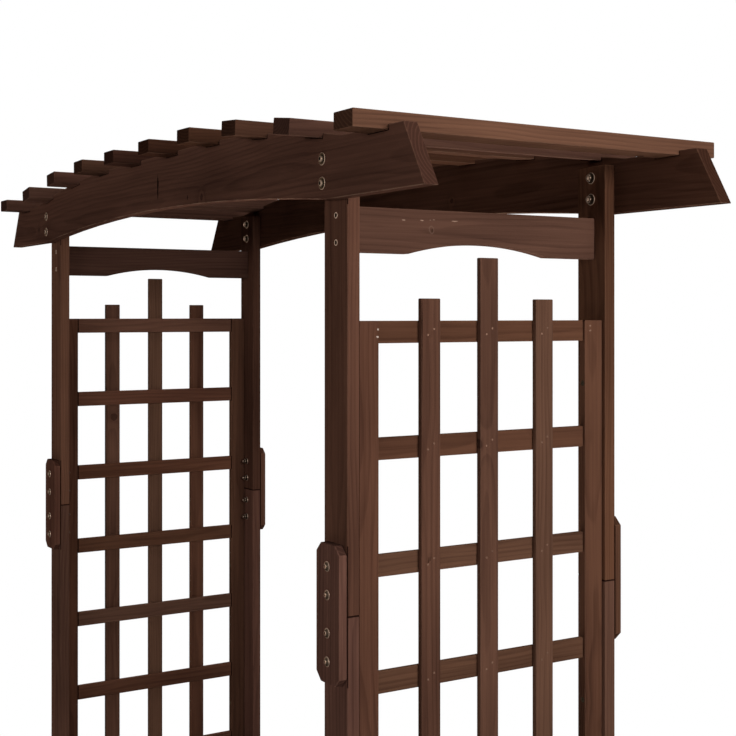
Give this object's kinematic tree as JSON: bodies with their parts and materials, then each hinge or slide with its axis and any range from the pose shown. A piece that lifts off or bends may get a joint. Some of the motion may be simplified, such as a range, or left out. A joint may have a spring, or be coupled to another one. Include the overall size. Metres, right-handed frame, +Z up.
{
  "type": "arbour seat",
  "caption": "Free-standing garden arbour seat of stained fir boards, with an arched slatted roof, trellis sides and a slatted bench with a back.",
  "frame": {"origin": "centre of the footprint, on the ground under the posts", "axes": "+Z up, +X to the sitter's left along the bench, -Y out of the open front"},
  "size_m": [1.643, 0.6, 2.055],
  "materials": {
    "stained_fir": "satin stain",
    "trellis_fir": "satin stain",
    "zinc_steel": "yellow zinc plating"
  },
  "bodies": {
    "root": {"left_front_lower_post": "stained_fir", "left_rear_lower_post": "stained_fir", "right_front_lower_post": "stained_fir", "right_rear_lower_post": "stained_fir", "left_front_upper_post": "stained_fir", "left_rear_upper_post": "stained_fir", "right_front_upper_post": "stained_fir", "right_rear_upper_post": "stained_fir", "left_front_splice_plate": "stained_fir", "left_rear_splice_plate": "stained_fir", "right_front_splice_plate": "stained_fir", "right_rear_splice_plate": "stained_fir", "front_roof_beam": "stained_fir", "rear_roof_beam": "stained_fir", "roof_slat_1": "stained_fir", "roof_slat_2": "stained_fir", "roof_slat_3": "stained_fir", "roof_slat_4": "stained_fir", "roof_slat_5": "stained_fir", "roof_slat_6": "stained_fir", "roof_slat_7": "stained_fir", "roof_slat_8": "stained_fir", "roof_slat_9": "stained_fir", "roof_slat_10": "stained_fir", "left_side_rail": "stained_fir", "right_side_rail": "stained_fir", "left_trellis_front_stile": "trellis_fir", "left_trellis_rear_stile": "trellis_fir", "left_trellis_rails": "trellis_fir", "left_trellis_front_slat": "trellis_fir", "left_trellis_middle_slat": "trellis_fir", "left_trellis_rear_slat": "trellis_fir", "right_trellis_front_stile": "trellis_fir", "right_trellis_rear_stile": "trellis_fir", "right_trellis_rails": "trellis_fir", "right_trellis_front_slat": "trellis_fir", "right_trellis_middle_slat": "trellis_fir", "right_trellis_rear_slat": "trellis_fir", "front_apron": "stained_fir", "rear_apron": "stained_fir", "seat_bearers": "stained_fir", "seat_slat_1": "stained_fir", "seat_slat_2": "stained_fir", "seat_slat_3": "stained_fir", "seat_slat_4": "stained_fir", "seat_slat_5": "stained_fir", "back_top_rail": "stained_fir", "back_bottom_rail": "stained_fir", "back_slats": "stained_fir", "long_bolts": "zinc_steel", "splice_bolts": "zinc_steel", "hex_nuts": "zinc_steel", "washers": "zinc_steel", "side_rail_screws": "zinc_steel", "roof_screws": "zinc_steel", "bench_screws": "zinc_steel", "trellis_screws": "zinc_steel", "trellis_nails": "zinc_steel"}
  },
  "joints": []
}
